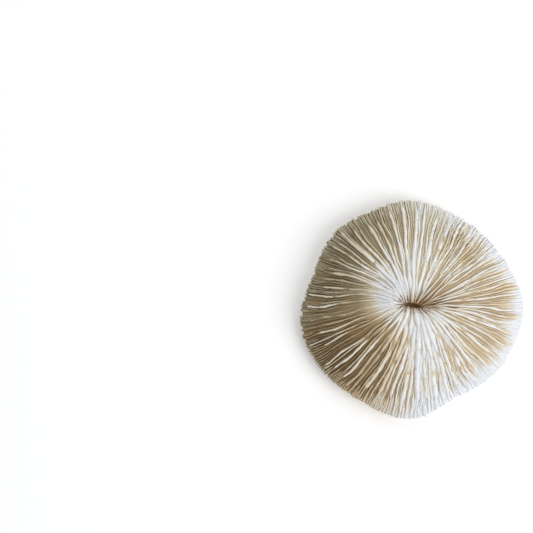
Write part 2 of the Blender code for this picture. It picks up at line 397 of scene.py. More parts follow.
def crown_levels(septum, share, begin, dice):
    """How far the edge stands up from the floor, 1 being the tallest, and how even it has become."""
    level = septum.level * (1.0 - VARIETY[septum.cycle] * dice.random())
    if septum.cycle > 1:
        rise = THIRD_RISE if septum.cycle == 2 else FINE_RISE
        level = min(HIGHEST_LATER_LEVEL, level * around(rise, septum.angle))
    stands = np.full_like(share, level)
    if septum.cycle:
        stands = stands * smooth_step((share - begin) / RISE_SHARE)
    for _ in range(int(around(DIPS, septum.angle) + dice.random())):
        at, run, dip = (dice.uniform(*limits) for limits in (DIP_PLACES, DIP_RUNS, DIP_DEPTHS))
        stands = stands * (1.0 - dip * np.exp(-(((share - at) / run) ** 2)))
    evens_at = around(EVEN_FROM, septum.angle) + dice.uniform(*EVEN_SCATTER)
    evening = smooth_step((share - evens_at) / around(EVENING_RUNS, septum.angle))
    return blend(stands, around(RIM_LEVELS, septum.angle), evening), evening


# %% How thick a septum is
THICKNESS = (1.4, 1.25, 1.0, 0.6, 0.45)
THICKER = (TALLEST_THICKER, TALLEST_THICKER, THIRD_THICKER, FINE_THICKER, FINE_THICKER)
START_THICKER = 1.1
THINNING = 0.3
BOSS_THINNESS = 0.5
THIN_SPOT_THINNESS = 0.45
LIP_SLIMNESS = (0.7, 1.0)
LIP_SLIMNESS_OF_SECOND = (0.15, 0.4)
SLIM_SHARE = 0.2


def lip_slimness(septum, dice):
    """Every second septum of the first cycle thins out before it reaches the slit."""
    second = septum.cycle == 0 and round(septum.angle / math.tau * CYCLES[0][0]) % 2
    return dice.uniform(*(LIP_SLIMNESS_OF_SECOND if second else LIP_SLIMNESS))


def crown_thickness(cycle, angles, share, place, evening, slimness):
    thicker = around(THICKER[cycle], angles)
    thickness = THICKNESS[cycle] * thicker * (START_THICKER - THINNING * share)
    thickness = blend(thickness, around(RIM_THICKNESS, angles), evening)
    on_boss = BOSS_THINNESS * near(place, *BOSS)
    thickness = thickness * (1.0 - on_boss - THIN_SPOT_THINNESS * near(place, *THIN_SPOT))
    if cycle < 2:
        thickness = thickness * blend(slimness, 1.0, smooth_step(share / SLIM_SHARE))
    return thickness


# %% How far the stain and painted shading reach up a septum
EDGE_SHARES_OF_STAIN_AND_SHADING = (0.05, 0.8)
EDGE_PAINTED_SHADE_FROM = 0.45
EDGE_PAINTED_SHADE_RUN = 0.35
FOSSA_EDGE_BROWN = 0.45
THIN_SPOT_EDGE_STAIN = 0.5


def crown_stains_and_shading(angles, share, place, evening):
    """The stain and painted shading in the gaps beside the septum, and the little of it that its edge
    takes, with more painted shade on the edges at the upper left.
    """
    stains_and_shading = stain(angles, share, place)
    # Painted shade darkens the edges towards the rim at the upper left.
    edge_part_with_shade = around(EDGE_PAINTED_SHADE, angles) * smooth_step((share - EDGE_PAINTED_SHADE_FROM) / EDGE_PAINTED_SHADE_RUN)
    edge_part_with_shade = EDGE_SHARES_OF_STAIN_AND_SHADING[0] + edge_part_with_shade
    edge_stains_and_shading = stains_and_shading * blend(edge_part_with_shade, EDGE_SHARES_OF_STAIN_AND_SHADING[1], evening)
    brown = fossa_brown(angles, place)
    thinned = THIN_SPOT_EDGE_STAIN * near(place, *THIN_SPOT)
    return stains_and_shading + brown, edge_stains_and_shading + FOSSA_EDGE_BROWN * brown + thinned


# %% The crown part of a rail
Rail = namedtuple("Rail", "points plate_height sunk stain edge_stain thickness ruggedness way")
CROWN_POINTS = 240
EDGE_CROWDING = 1.6
EARLY_START = 0.03
HALF_GAPS = (0.0, 0.13, 0.065, 0.033, 0.016)
FORK_LEANS = (0.2, 0.75)
FORK_RUN = 0.16
RIM_RETREAT = (0.0, 0.0, 0.05, 0.1, 0.15)
RIM_SCATTER = (0.0, 0.5)
LIP_RELIEF = 0.5
LIP_DROP = 1.1
LIP_SHARE = 0.15
RUGGED_RUN = 0.6


def crown_part(septum, dice):
    begin = max(0.0, septum.begins - EARLY_START) if septum.cycle else 0.0
    steps = 1.0 - (1.0 - np.linspace(0.0, 1.0, CROWN_POINTS)) ** EDGE_CROWDING
    share = blend(begin, 1.0, steps)
    lean = HALF_GAPS[septum.cycle] * dice.choice((-1.0, 1.0)) * dice.uniform(*FORK_LEANS)
    angles = septum.angle + lean * (1.0 - smooth_step((share - begin) / FORK_RUN))
    place = septum_plan(angles, share, RIM_RETREAT[septum.cycle] + dice.uniform(*RIM_SCATTER))
    slimness = lip_slimness(septum, dice)
    stands, evening = crown_levels(septum, share, begin, dice)
    at_lip = 1.0 - smooth_step(share / LIP_SHARE)
    stands = stands * (1.0 - (1.0 - slimness) * LIP_DROP * at_lip)
    for x, y, radius, drop in LOW_SPOTS:
        stands = stands * (1.0 - drop * near(place, x, y, radius))
    stands = stands * (1.0 - trough(angles, share))
    gap = gap_depth(angles, share, place)
    sunk = gap * (1.0 - stands)
    high = crest_height(angles, share, place, -LIP_RELIEF) - sunk
    worn = all_spots(place, WORN_SPOTS)
    stains_and_shading, edge_stains_and_shading = crown_stains_and_shading(angles, share, place, evening)
    return Rail(
        points=np.column_stack((place, high)),
        plate_height=gap * stands,
        sunk=sunk,
        stain=stains_and_shading,
        edge_stain=edge_stains_and_shading,
        thickness=crown_thickness(septum.cycle, angles, share, place, evening, slimness),
        ruggedness=(around(RUGGEDNESS, angles) + worn) * smooth_step(share / RUGGED_RUN),
        way=np.gradient(place, axis=0),
    )


# %% The throat part, down into the slit, darker with depth: brown with painted shade
THROAT_POINTS = 12
THROAT_REACH = (0.2, 1.3)
THROAT_DROPS = (2.4, 4.2)
THROAT_STAIN_AND_SHADE = 3.0
THROAT_THINNING = 0.6
THROAT_RUGGEDNESS = 0.2


def across_the_slit(place):
    """The way from a place on the lip to the nearest place on the slit's long axis."""
    length_way = direction(MOUTH_TILT)
    limit = MOUTH_HALF_LENGTH - MOUTH_HALF_WIDTH
    along = np.clip(np.dot(place - MOUTH_CENTRE, length_way), -limit, limit)
    return MOUTH_CENTRE + along * length_way - place


def throat_part(crown, dice):
    top = Rail(*(values[0] for values in crown))
    down = np.linspace(1.0, 0.0, THROAT_POINTS, endpoint=False)
    inward = across_the_slit(top.points[:2]) * dice.uniform(*THROAT_REACH)
    drop = dice.uniform(*THROAT_DROPS)
    plan = top.points[:2] + inward * down[:, None]
    same = np.ones(THROAT_POINTS)
    return Rail(
        points=np.column_stack((plan, top.points[2] - drop * down)),
        plate_height=top.plate_height * same,
        sunk=top.sunk + THROAT_STAIN_AND_SHADE * down,
        stain=top.stain * same,
        edge_stain=top.edge_stain * same,
        thickness=top.thickness * (1.0 - THROAT_THINNING * down),
        ruggedness=THROAT_RUGGEDNESS * same,
        way=np.outer(same, top.way),
    )


# %% The rib part, over the rounded side and along the underside
RIB_POINTS = 30
RIB_TURNS = (0.03, 1.0)
RIB_DEPTH = 0.55
RIB_CLEARANCE = 0.3
RIB_THICKNESS = 0.42
RIB_START_THINNER = 0.6
RIB_RUGGEDNESS = 0.15
RIB_INNER_RADIUS = (8.0, 8.0, 15.0, 25.0, 33.0)
RIB_TIP = 0.3
RIB_TIP_LENGTH = 3.0
SIDE_FADE = 1.5
SIDE_STAIN_AND_SHADING_FADE = 1.6
UNDERSIDE_STAIN = 1.6
UNDERSIDE_EDGE_STAIN = 0.7


def rib_part(septum, crown):
    turn = np.linspace(*RIB_TURNS, RIB_POINTS)
    out, high = side_profile(turn)
    rim = np.linalg.norm(crown.points[-1, :2])
    inner = RIB_INNER_RADIUS[septum.cycle]
    flat = np.linspace(BASE_SHARE * rim, inner, RIB_POINTS)[1:]
    radius = np.concatenate((out * rim, flat))
    high = np.concatenate((high, np.zeros(len(flat))))
    same = np.ones(len(radius))
    fade = np.concatenate(((1.0 - turn) ** SIDE_FADE, np.zeros(len(flat))))
    stain_and_shading_share = fade**SIDE_STAIN_AND_SHADING_FADE
    slim = blend(RIB_TIP, 1.0, smooth_step((radius - inner) / RIB_TIP_LENGTH))
    starting = THICKNESS[septum.cycle] * RIB_START_THINNER
    plan = np.outer(radius, direction(septum.angle))
    return Rail(
        points=np.column_stack((plan, np.maximum(high, RIB_CLEARANCE))),
        plate_height=crown.plate_height[-1] * fade + RIB_DEPTH,
        sunk=crown.sunk[-1] * fade,
        stain=crown.stain[-1] * stain_and_shading_share + UNDERSIDE_STAIN * (1.0 - stain_and_shading_share),
        edge_stain=crown.edge_stain[-1] * stain_and_shading_share + UNDERSIDE_EDGE_STAIN * (1.0 - stain_and_shading_share),
        thickness=(starting * fade + RIB_THICKNESS * (1.0 - fade)) * slim,
        ruggedness=crown.ruggedness[-1] * fade + RIB_RUGGEDNESS,
        way=np.outer(same, direction(septum.angle)),
    )


# %% Even steps along a rail
CROWN_SPACING = (0.30, 0.30, 0.30, 0.40, 0.38)
RIB_SPACING = 0.8
FEWEST_POINTS = 6


def resample(parts, spacings):
    """Joins the parts and walks along them in even steps, coarser where nobody looks."""
    columns = [np.concatenate(values) for values in zip(*parts)]
    lengths = [len(part.points) for part in parts]
    sizes = np.repeat(spacings, lengths)
    steps = np.linalg.norm(np.diff(columns[0], axis=0), axis=1)
    along = np.concatenate(([0.0], np.cumsum(steps)))
    effort = np.concatenate(([0.0], np.cumsum(steps / sizes[1:])))
    walk = np.linspace(0.0, effort[-1], max(FEWEST_POINTS, int(effort[-1])))

    def spread(column):
        rows = [np.interp(walk, effort, row) for row in np.atleast_2d(column.T)]
        return np.stack(rows, axis=-1)

    return Rail(*(spread(column) for column in columns)), np.interp(walk, effort, along)


def rail(septum, dice):
    crown = crown_part(septum, dice)
    parts = [crown, rib_part(septum, crown)]
    spacings = [CROWN_SPACING[septum.cycle], RIB_SPACING]
    if not septum.cycle:
        parts.insert(0, throat_part(crown, dice))
        spacings.insert(0, CROWN_SPACING[0])
    for part in parts:
        part.way[:] /= np.linalg.norm(part.way, axis=1, keepdims=True)
    return resample(parts, spacings)


# %% The rails of some cycles as one mesh of lines
THICKNESS_SCATTER = (0.72, 1.3)
RAIL_SEED = 7
RAIL_SEED_STEP = 10


def rail_directions(points, way):
    sideways = np.column_stack((way[:, 1], -way[:, 0], np.zeros(len(way))))
    ahead = np.gradient(points, axis=0)
    lift = np.cross(sideways, ahead)
    return sideways, lift / np.linalg.norm(lift, axis=1, keepdims=True)


def store_values(mesh, name, values):
    """A float or a vector for every point of a mesh."""
    flat = values.ndim == 1 or values.shape[1] == 1
    attribute = mesh.attributes.new(name, "FLOAT" if flat else "FLOAT_VECTOR", "POINT")
    attribute.data.foreach_set("value" if flat else "vector", values.astype(np.float32).ravel())


def new_object(name, data):
    holder = bpy.data.objects.new(name, data)
    bpy.context.scene.collection.objects.link(holder)
    return holder


def rails_object(name, cycles):
    dice = random.Random(SEPTA_SEED + RAIL_SEED + RAIL_SEED_STEP * cycles[0])
    chains = []
    for number, septum in enumerate(SEPTA):
        if septum.cycle in cycles:
            line, along = rail(septum, dice)
            line.points[:, :2] -= MIDDLE
            line.thickness[:] *= dice.uniform(*THICKNESS_SCATTER)
            sideways, upwards = rail_directions(line.points, line.way)
            mark = np.full(len(along), float(number))
            chains.append((*line[:-1], sideways, upwards, along, mark))
    counts = [len(chain[0]) for chain in chains]
    joined = [np.concatenate(values) for values in zip(*chains)]
    lasts = np.cumsum(counts) - 1
    starts = np.delete(np.arange(len(joined[0])), lasts)
    mesh = bpy.data.meshes.new(name)
    mesh.from_pydata(joined[0] * MM, np.column_stack((starts, starts + 1)), [])
    labels = (*Rail._fields[1:-1], "sideways", "upwards", "along", "septum")
    for label, values in zip(labels, joined[1:]):
        store_values(mesh, label, values)
    print(name, "lines:", len(counts), "points:", len(joined[0]))
    return new_object(name, mesh)


# %% [markdown]
# ## Sums in node trees
# A node tree for a rule soon has dozens of Math nodes. A small helper class lets the rule be
# written as a sum, and adds the nodes itself. It serves the geometry and the materials alike.

# %% Values that flow through a tree
class Flow:
    """A number on its way through a node tree."""

    def __init__(self, tree, socket):
        self.tree = tree
        self.socket = socket

    def math(self, operation, *others):
        node = self.tree.nodes.new("ShaderNodeMath")
        node.operation = operation
        for socket, value in zip(node.inputs, (self, *others)):
            feed(self.tree, socket, value)
        return Flow(self.tree, node.outputs[0])

    __add__ = partialmethod(math, "ADD")
    __sub__ = partialmethod(math, "SUBTRACT")
    __mul__ = partialmethod(math, "MULTIPLY")
    __truediv__ = partialmethod(math, "DIVIDE")
    __pow__ = partialmethod(math, "POWER")
    sine = partialmethod(math, "SINE")
    size = partialmethod(math, "ABSOLUTE")
    at_least = partialmethod(math, "MAXIMUM")
    at_most = partialmethod(math, "MINIMUM")


def feed(tree, socket, value):
    """Links a flowing value to a socket, or sets a plain one."""
    if isinstance(value, Flow):
        tree.links.new(value.socket, socket)
    elif isinstance(value, bpy.types.NodeSocket):
        tree.links.new(value, socket)
    else:
        socket.default_value = value


def add_node(tree, kind, output=0, **inputs):
    """A node with its inputs linked or set. A name's underscores stand for spaces."""
    node = tree.nodes.new(kind)
    for label, value in inputs.items():
        feed(tree, node.inputs[label.replace("_", " ")], value)
    return node.outputs[output]


def coordinate(tree, place, axis):
    return Flow(tree, add_node(tree, "ShaderNodeSeparateXYZ", axis, Vector=place))


def noise(tree, place, scale, detail=2.0, roughness=0.55):
    """Noise from about -0.5 to 0.5."""
    value = add_node(tree, "ShaderNodeTexNoise", "Fac",
                     Vector=place, Scale=scale, Detail=detail, Roughness=roughness)
    return Flow(tree, value) - 0.5


# %% [markdown]
# ## The finish
# Dry coral is chalky. The edges of the plates are clean and almost white, tinted blue as a painted
# cool skylight, and deeper between them the colour is cream, then tan, then brown in the mouth,
# where the darkest brown is partly painted shade. It could be painted, but the colour follows a
# rule: every piece stores on its points how deep they lie below the tallest edges, with the stain
# and painted shading as some more depth, and a ramp turns that into colour. Two families of
# brown are mixed by place: a darker olive one, painted shade for the upper left, and a lighter
# warm one, painted light for the lower right. Slow noise breaks them into patches, and fine noise
# makes the surface granular.

# %% Colours by depth, in millimetres: olive for the shaded side, warm for the lit side
DEEPEST = 8.0
# The last stops are the slit's darkest browns, partly painted shade.
LEVELS = (0.0, 0.45, 1.2, 2.4, 4.6, 7.5)
# The first stop, a bluish white, is the edges' colour with a painted cool skylight in it.
OLIVE_SHADED = (
    (0.88, 0.885, 0.91), (0.85, 0.835, 0.79), (0.78, 0.715, 0.575),
    (0.60, 0.53, 0.38), (0.36, 0.305, 0.195), (0.36, 0.23, 0.11),
)
WARM_LIT = (
    (0.88, 0.885, 0.91), (0.86, 0.84, 0.81), (0.83, 0.74, 0.61),
    (0.74, 0.59, 0.41), (0.52, 0.36, 0.20), (0.42, 0.25, 0.11),
)
PATCH_COLOUR = (0.80, 0.66, 0.42, 1.0)


def depth_colours(tree, depth, colours):
    ramp = tree.nodes.new("ShaderNodeValToRGB")
    stops = ramp.color_ramp.elements
    while len(stops) < len(LEVELS):
        stops.new(0.5)
    for stop, level, colour in zip(stops, LEVELS, colours):
        stop.position = level / DEEPEST
        stop.color = (*colour, 1.0)
    feed(tree, ramp.inputs["Fac"], depth / DEEPEST)
    return ramp.outputs["Color"]


def mixed(tree, blend, factor, first, second):
    node = tree.nodes.new("ShaderNodeMix")
    node.data_type = "RGBA"
    node.blend_type = blend
    for index, value in ((0, factor), (6, first), (7, second)):
        feed(tree, node.inputs[index], value)
    return node.outputs[2]


# %% Where the brown is warm, by Object coordinates in metres: painted light to the lower right
EVENLY_WARM = 0.5
WARMER = (9.6, -9.0)
WARM_MOUTH = 0.55
WARM_MOUTH_RADIUS = 0.015


def warmth(tree, place):
    """Darker olive browns, a painted shade, at the upper left, and lighter warm ones, a painted light, to
    the lower right; warm round the mouth as well.
    """
    x, y = (coordinate(tree, place, axis) for axis in "XY")
    mouth_x, mouth_y = (float(v) * MM for v in MOUTH_CENTRE - MIDDLE)
    from_mouth = ((x - mouth_x) ** 2.0 + (y - mouth_y) ** 2.0) / WARM_MOUTH_RADIUS**2
    at_mouth = (from_mouth * -1.0).math("EXPONENT") * WARM_MOUTH
    total = x * WARMER[0] + y * WARMER[1] + at_mouth + EVENLY_WARM
    return total.at_least(0.0).at_most(1.0)


# %% The skeleton material
MOTTLING = {"scale": 800.0, "detail": 4.0}
MOTTLE_DEPTH = 0.7
PATCHES = {"scale": 45.0, "detail": 5.0, "roughness": 0.6}
PATCH_STRENGTH = 1.6
PATCH_BIAS = 0.1
STRONGEST_PATCH = 0.3
PATCHES_BY_DEPTH = 0.7
EDGE_PATCHES = 0.1
GRAIN = {"scale": 1300.0, "detail": 4.0, "roughness": 0.65}
GRAIN_HEIGHT = 0.3 * MM
GRAIN_STRENGTH = 0.8
CHALK = {
    "Roughness": 0.8, "Specular IOR Level": 0.3, "Subsurface Weight": 0.6,
    "Subsurface Radius": (1.0, 0.85, 0.7), "Subsurface Scale": 1.5 * MM,
}


def new_material(name, settings):
    material = bpy.data.materials.new(name)
    material.use_nodes = True
    shader = material.node_tree.nodes["Principled BSDF"].inputs
    for label, value in settings.items():
        shader[label].default_value = value
    return material, shader


def patch_amount(tree, place, depth):
    """How much of the patches shows: little on the edges, more in the gaps."""
    shown = (depth * PATCHES_BY_DEPTH).at_least(EDGE_PATCHES).at_most(1.0)
    amount = noise(tree, place, **PATCHES) * PATCH_STRENGTH + PATCH_BIAS
    return amount.at_least(0.0).at_most(STRONGEST_PATCH) * shown


def skeleton_material():
    material, shader = new_material("chalky_skeleton", CHALK)
    tree = material.node_tree
    place = add_node(tree, "ShaderNodeTexCoord", "Object")
    stored_depth = tree.nodes.new("ShaderNodeAttribute")
    stored_depth.attribute_name = "depth"
    depth = Flow(tree, stored_depth.outputs["Fac"]) + noise(tree, place, **MOTTLING) * MOTTLE_DEPTH
    browns = (depth_colours(tree, depth, colours) for colours in (OLIVE_SHADED, WARM_LIT))
    stain_and_shading_share = mixed(tree, "MIX", warmth(tree, place), *browns)
    amount = patch_amount(tree, place, depth)
    feed(tree, shader["Base Color"], mixed(tree, "MULTIPLY", amount, stain_and_shading_share, PATCH_COLOUR))
    bump = add_node(tree, "ShaderNodeBump", Strength=GRAIN_STRENGTH, Distance=GRAIN_HEIGHT,
                    Height=noise(tree, place, **GRAIN))
    feed(tree, shader["Normal"], bump)
    return material


SKELETON = skeleton_material()
print("material:", SKELETON.name, "nodes:", len(SKELETON.node_tree.nodes))

# %% [markdown]
# ## A tree that grows plates along rails
# Each plate could be a surface with a thickness, bent by hand. Sweeping a section along the lines
# makes all of them at once. The section is an arch of seven points. After the sweep each point
# knows its rail and its own place in the section, so one Set Position gives the plate its height,
# thickness, wide foot, sway, uneven edge and small teeth. The stain and painted shading begin a
# little below the smooth edge, so chips in it stay white.

# %% Node helpers
def new_tree(name, numbers):
    tree = bpy.data.node_groups.new(name, "GeometryNodeTree")
    tree.interface.new_socket("Geometry", in_out="INPUT", socket_type="NodeSocketGeometry")
    for label in numbers:
        tree.interface.new_socket(label, in_out="INPUT", socket_type="NodeSocketFloat")
    tree.interface.new_socket("Material", in_out="INPUT", socket_type="NodeSocketMaterial")
    tree.interface.new_socket("Geometry", in_out="OUTPUT", socket_type="NodeSocketGeometry")
    return tree, tree.nodes.new("NodeGroupInput").outputs, tree.nodes.new("NodeGroupOutput").inputs


def stored(tree, name, kind="FLOAT"):
    node = tree.nodes.new("GeometryNodeInputNamedAttribute")
    node.data_type = kind
    node.inputs["Name"].default_value = name
    return Flow(tree, node.outputs["Attribute"])


def store(tree, geometry, name, value, kind="FLOAT"):
    node = tree.nodes.new("GeometryNodeStoreNamedAttribute")
    node.data_type = kind
    node.domain = "POINT"
    node.inputs["Name"].default_value = name
    feed(tree, node.inputs["Geometry"], geometry)
    feed(tree, node.inputs["Value"], value)
    return node.outputs["Geometry"]


def hand_out(tree, given, result, geometry):
    """Makes everything real, gives it the material and ends the tree."""
    real = add_node(tree, "GeometryNodeRealizeInstances", Geometry=geometry)
    dressed = add_node(tree, "GeometryNodeSetMaterial", Geometry=real, Material=given["Material"])
    feed(tree, result["Geometry"], dressed)
    return tree


def vector_math(tree, operation, values):
    """A vector node whose inputs are given by number or name."""
    node = tree.nodes.new("ShaderNodeVectorMath")
    node.operation = operation
    for label, value in values.items():
        feed(tree, node.inputs[label], value)
    return node.outputs[0]


def move_along(tree, place, way, distance):
    step = vector_math(tree, "SCALE", {0: way, "Scale": distance})
    return vector_math(tree, "ADD", {0: place, 1: step})


# %% The section of a plate
SECTION_POINTS = 7
SHOULDER = 0.42


def plate_section(tree):
    """From one foot over the edge to the other foot, closed along the bottom."""
    line = add_node(tree, "GeometryNodeMeshLine", Count=SECTION_POINTS, Offset=(0.0, 0.0, MM))
    curve = add_node(tree, "GeometryNodeMeshToCurve", Mesh=line)
    closed = add_node(tree, "GeometryNodeSetSplineCyclic", Geometry=curve, Cyclic=True)
    index = Flow(tree, add_node(tree, "GeometryNodeInputIndex"))
    turn = index * (math.pi / (SECTION_POINTS - 1))
    section = store(tree, closed, "plate_side", turn.math("COSINE"))
    return store(tree, section, "plate_share", turn.sine().size() ** SHOULDER)


# %% Uneven growth along a septum, with lengths in millimetres
SEPTA_APART = 7.31
BEAT_LENGTH = 4.0
BEAT_DRIFT = 2.5
TOOTH_LENGTH = 1.5
TOOTH_LEVEL = 0.55
SWELL_LENGTH = 9.0
CHIP_LENGTH = 3.0
CHIPS_FROM = 0.1
GRAIN_LENGTH = 0.8
DEEPEST_CHIP = 0.9


def wander(tree, given, length, more_seed=0.0):
    """Noise along a septum, another on each one and for each use that has a seed of its own."""
    place = add_node(tree, "ShaderNodeCombineXYZ", X=stored(tree, "along") / length,
                     Y=stored(tree, "septum") * SEPTA_APART, Z=Flow(tree, given["Seed"]) + more_seed)
    return noise(tree, place, 1.0, 1.0)


def teeth(tree, given):
    """Small rounded teeth one after the other, from 0 to about 1."""
    beat = stored(tree, "along") / given["Tooth pitch"]
    beat = beat + wander(tree, given, BEAT_LENGTH) * BEAT_DRIFT
    level = wander(tree, given, TOOTH_LENGTH, 3.0) + TOOTH_LEVEL
    return (beat * math.pi).sine().size() * level


def uneven_edge(tree, given, share, tooth):
    """How far the edge stands above its smooth line."""
    swell = wander(tree, given, SWELL_LENGTH, 5.0) * given["Unevenness"]
    chip = (wander(tree, given, CHIP_LENGTH, 13.0) - CHIPS_FROM).at_least(0.0) * given["Chips"]
    grain = wander(tree, given, GRAIN_LENGTH, 17.0) * given["Grain"]
    rugged = stored(tree, "ruggedness") * share**3.0
    edge = (tooth * given["Tooth height"] + swell + grain - chip) * rugged
    return edge.at_least(stored(tree, "plate_height") * -DEEPEST_CHIP)


# %% Thickness, sway, and stain and painted shading across a plate
THICKER_LENGTH = 5.0
THICKER_STRENGTH = 1.4
THICKER_LEVEL = 0.88
PLATE_TAPER = 0.3
PLATE_BASE_WIDTH = 1.2
SLOW_SWAY_LENGTH = 11.0
SLOW_SWAY = 1.5
FAST_SWAY_LENGTH = 3.0
FINE_SWAY_LENGTH = 0.9
FINE_SWAY = 0.5
STAIN_AND_SHADING_BELOW_EDGE = 0.2
STAIN_AND_SHADING_FADE_IN = 0.6


def plate_width(tree, given, share, tooth):
    """How far a point lies from the plate's middle, with beads, swellings and a wide foot."""
    swelling = wander(tree, given, THICKER_LENGTH, 7.0) * THICKER_STRENGTH + THICKER_LEVEL
    swelling = swelling + tooth * stored(tree, "ruggedness") * given["Beads"]
    foot = (share * -1.0 + 1.0) * given["Foot"]
    half = stored(tree, "thickness") * 0.5 * (share * -PLATE_TAPER + PLATE_BASE_WIDTH)
    return (half + foot) * stored(tree, "plate_side") * swelling


def plate_sway(tree, given, share):
    slow = wander(tree, given, SLOW_SWAY_LENGTH, 9.0) * SLOW_SWAY
    fast = wander(tree, given, FAST_SWAY_LENGTH, 11.0)
    fast = (fast + wander(tree, given, FINE_SWAY_LENGTH, 19.0) * FINE_SWAY) * share
    return (slow + fast * stored(tree, "ruggedness")) * given["Sway"]


def plate_depth(tree, smooth, upwards):
    """Depth below the tallest edges, with the stain and painted shading of the gaps from a little under
    the edge.
    """
    stain_and_shading_share = (stored(tree, "sunk") - smooth - STAIN_AND_SHADING_BELOW_EDGE) / STAIN_AND_SHADING_FADE_IN
    stain_and_shading_share = stain_and_shading_share.at_least(0.0).at_most(1.0)
    at_edge = stored(tree, "edge_stain") * (stain_and_shading_share * -1.0 + 1.0)
    return stored(tree, "sunk") - upwards + stored(tree, "stain") * stain_and_shading_share + at_edge


# %% The plate tree
PLATE_NUMBERS = {
    "Foot": 0.28, "Tooth pitch": 1.3, "Beads": 0.15, "Unevenness": 1.3,
    "Chips": 3.4, "Grain": 0.45, "Sway": 0.45, "Seed": 1.0,
}
ROOT = 0.6


def plates_tree():
    tree, given, result = new_tree("coral_plates", ("Tooth height", *PLATE_NUMBERS))
    curves = add_node(tree, "GeometryNodeMeshToCurve", Mesh=given["Geometry"])
    here = add_node(tree, "GeometryNodeInputPosition")
    curves = store(tree, curves, "rail_place", here, "FLOAT_VECTOR")
    sweep = add_node(tree, "GeometryNodeCurveToMesh", Curve=curves,
                     Profile_Curve=plate_section(tree), Fill_Caps=True)

    share = stored(tree, "plate_share")
    tooth = teeth(tree, given)
    smooth = (stored(tree, "plate_height") + ROOT) * (share - 1.0)
    upwards = smooth + uneven_edge(tree, given, share, tooth)
    sideways = plate_width(tree, given, share, tooth) + plate_sway(tree, given, share)

    place = stored(tree, "rail_place", "FLOAT_VECTOR")
    place = move_along(tree, place, stored(tree, "upwards", "FLOAT_VECTOR"), upwards * MM)
    place = move_along(tree, place, stored(tree, "sideways", "FLOAT_VECTOR"), sideways * MM)
    plates = store(tree, sweep, "depth", plate_depth(tree, smooth, upwards))
    plates = add_node(tree, "GeometryNodeSetPosition", Geometry=plates, Position=place)
    plates = add_node(tree, "GeometryNodeSetShadeSmooth", Geometry=plates)
    return hand_out(tree, given, result, plates)


PLATES = plates_tree()
print("nodes in the plate tree:", len(PLATES.nodes))


# %% Run a tree and keep the result as a plain mesh
def grow(source, tree, name, settings):
    modifier = source.modifiers.new("grow", "NODES")
    modifier.node_group = tree
    for item in tree.interface.items_tree:
        if item.in_out == "INPUT" and item.name in settings:
            modifier[item.identifier] = settings[item.name]
    depsgraph = bpy.context.evaluated_depsgraph_get()
    mesh = bpy.data.meshes.new_from_object(source.evaluated_get(depsgraph))
    mesh.name = name
    needed = ("depth", "position", "material_index")
    for label in [a.name for a in mesh.attributes]:
        attribute = mesh.attributes[label]
        if not attribute.is_internal and not attribute.is_required and label not in needed:
            mesh.attributes.remove(attribute)
    bpy.data.objects.remove(source)
    return finished(name, mesh)


def finished(name, mesh):
    """Links a mesh as a piece that rides on the coral's body."""
    piece = new_object(name, mesh)
    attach(piece, BODY)
    mesh.calc_loop_triangles()
    print(name, "triangles:", len(mesh.loop_triangles))
    return piece


# %% Grow the septa
PLATE_PIECES = (
    ("septa_first_cycles", (0, 1), 0.28),
    ("septa_third_cycle", (2,), 0.26),
    ("septa_fourth_cycle", (3,), 0.16),
    ("septa_rim_cycle", (4,), 0.12),
)
for name, cycles, tooth in PLATE_PIECES:
    settings = {**PLATE_NUMBERS, "Tooth height": tooth, "Material": SKELETON}
    grow(rails_object(name + "_rails", cycles), PLATES, name, settings)

# %% [markdown]
# ## Spines along the ribs
# The underside can't be seen from above. On such corals it carries rows of small blunt spines on
# the ribs, longer towards the rim. There are thousands, so none is modelled by hand. A point is
# placed for each spine, with the way it points and its length. The tree puts one small cone on
# every point and makes them all real.

# %% A point for each spine
SPINE_INSET = 0.8
SPINE_PITCH = 1.5
SPINE_SCATTER = 0.4
SPINE_SIDE_SCATTER = 0.15
SPINE_TURNS = (0.25, 0.95)
SIDE_LENGTH = 13.0
SPINE_LENGTH = (0.55, 0.85)
SPINE_SHORTENING = 0.35
SPINE_RADIUS = 0.24
SPINE_CYCLES = 4
SPINE_SEED = 99
FLOOR_GAP = 0.02


def spine_points(septum, dice):
    """Places in mm on the rib of one septum, each with its outward way and length."""
    rim = float(outline_radius(septum.angle)) - SPINE_INSET
    flat = np.arange(BASE_SHARE * rim, RIB_INNER_RADIUS[septum.cycle] + 1.0, -SPINE_PITCH)
    turn = np.arange(*SPINE_TURNS, SPINE_PITCH / SIDE_LENGTH)
    out, high = side_profile(turn)
    radius = np.concatenate((out * rim, flat))
    radius = radius + np.array([dice.uniform(-SPINE_SCATTER, SPINE_SCATTER) for _ in radius])
    aside = [dice.uniform(-SPINE_SIDE_SCATTER, SPINE_SIDE_SCATTER) for _ in radius]
    angle = septum.angle + np.array(aside) / radius
    high = np.concatenate((high, np.full(len(flat), RIB_CLEARANCE + SPINE_LENGTH[0])))
    points = np.column_stack((direction(angle) * radius[:, None], high))
    quarter = np.concatenate((turn, np.ones(len(flat)))) * math.pi / 2.0
    ways = np.column_stack((direction(angle) * np.cos(quarter)[:, None], -np.sin(quarter)))
    lengths = np.array([dice.uniform(*SPINE_LENGTH) for _ in radius])
    return points, ways, lengths * (1.0 - SPINE_SHORTENING * np.sin(quarter) ** 4)


